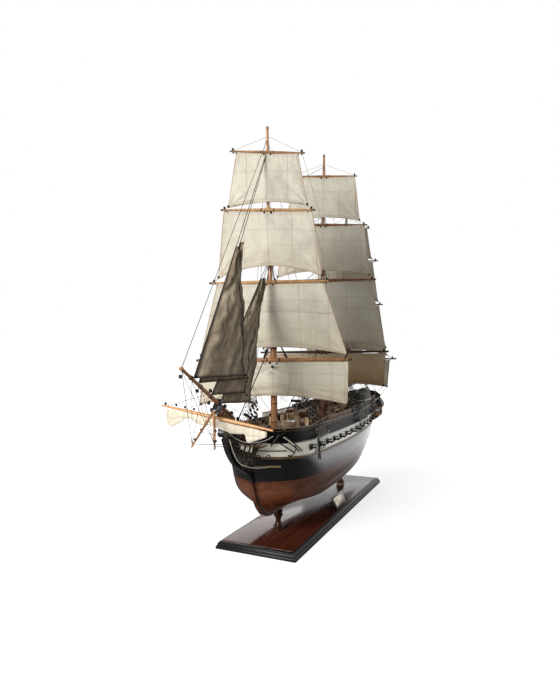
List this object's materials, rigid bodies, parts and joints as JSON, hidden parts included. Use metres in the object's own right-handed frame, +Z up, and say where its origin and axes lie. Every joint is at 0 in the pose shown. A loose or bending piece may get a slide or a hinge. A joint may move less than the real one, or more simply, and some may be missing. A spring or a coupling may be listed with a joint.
{
  "type": "tall ship display model on a stand",
  "caption": "Wooden display model of a full-rigged sailing frigate with cloth sails, on a moulded board with turned pedestals.",
  "frame": {"origin": "middle of the stand's underside", "axes": "+X forward to the bow, +Y to port, +Z up"},
  "size_m": [0.9266, 0.2699, 0.7906],
  "materials": {
    "mahogany": "polished red mahogany under clear lacquer",
    "black_moulding": "satin black lacquer on a wood moulding",
    "pedestal_wood": "dark stained turned wood",
    "plate_metal": "blank brushed metal plate",
    "bottom_brown": "red-brown stained planking under satin lacquer",
    "black_paint": "satin black paint on wood",
    "cream_paint": "off-white paint on planking",
    "deck_wood": "light planked deck",
    "dark_wood": "dark stained hardwood",
    "gallery_wood": "tan wood with painted frames",
    "mast_wood": "orange-brown stained wood",
    "yard_wood": "golden stained wood",
    "canvas": "tea-dyed cotton sailcloth",
    "rope": "dark waxed cotton cord"
  },
  "bodies": {
    "ship": {"base_board": "mahogany", "base_moulding": "black_moulding", "pedestal_front": "pedestal_wood", "pedestal_rear": "pedestal_wood", "nameplate": "plate_metal", "hull_bottom": "bottom_brown", "hull_wale": "black_paint", "gun_stripe": "cream_paint", "gun_deck": "black_paint", "bulwarks": "black_paint", "deck": "deck_wood", "keel_and_stem": "dark_wood", "head_rails": "black_paint", "stern_gallery": "gallery_wood", "fore_lower_mast": "mast_wood", "fore_upper_mast": "mast_wood", "main_lower_mast": "mast_wood", "main_upper_mast": "mast_wood", "mizzen_lower_mast": "mast_wood", "mizzen_upper_mast": "mast_wood", "bowsprit": "mast_wood", "jib_boom": "dark_wood", "dolphin_striker": "yard_wood", "spritsail_yard": "yard_wood", "spritsail": "canvas", "fore_course_yard": "yard_wood", "fore_topsail_yard": "yard_wood", "fore_topgallant_yard": "yard_wood", "fore_royal_yard": "yard_wood", "main_course_yard": "yard_wood", "main_topsail_yard": "yard_wood", "main_topgallant_yard": "yard_wood", "main_royal_yard": "yard_wood", "mizzen_course_yard": "yard_wood", "mizzen_topsail_yard": "yard_wood", "mizzen_topgallant_yard": "yard_wood", "mizzen_royal_yard": "yard_wood", "fore_course_sail": "canvas", "fore_topsail_sail": "canvas", "fore_topgallant_sail": "canvas", "fore_royal_sail": "canvas", "main_course_sail": "canvas", "main_topsail_sail": "canvas", "main_topgallant_sail": "canvas", "main_royal_sail": "canvas", "mizzen_course_sail": "canvas", "mizzen_topsail_sail": "canvas", "mizzen_topgallant_sail": "canvas", "mizzen_royal_sail": "canvas", "flying_jib": "canvas", "jib": "canvas", "fore_topmast_staysail": "canvas", "fore_staysail": "canvas", "spanker": "canvas", "spanker_gaff": "yard_wood", "spanker_boom": "yard_wood", "fore_stay": "rope", "main_stay": "rope", "mizzen_stay": "rope"},
    "rudder": {"rudder": "dark_wood"}
  },
  "joints": [
    {"name": "rudder_hinge", "type": "hinge", "parent": "ship", "child": "rudder", "pos_m": [-0.3288, 0, 0.0498], "axis": [-0.0867, 0, 0.9962], "range_deg": [-30, 30]}
  ]
}
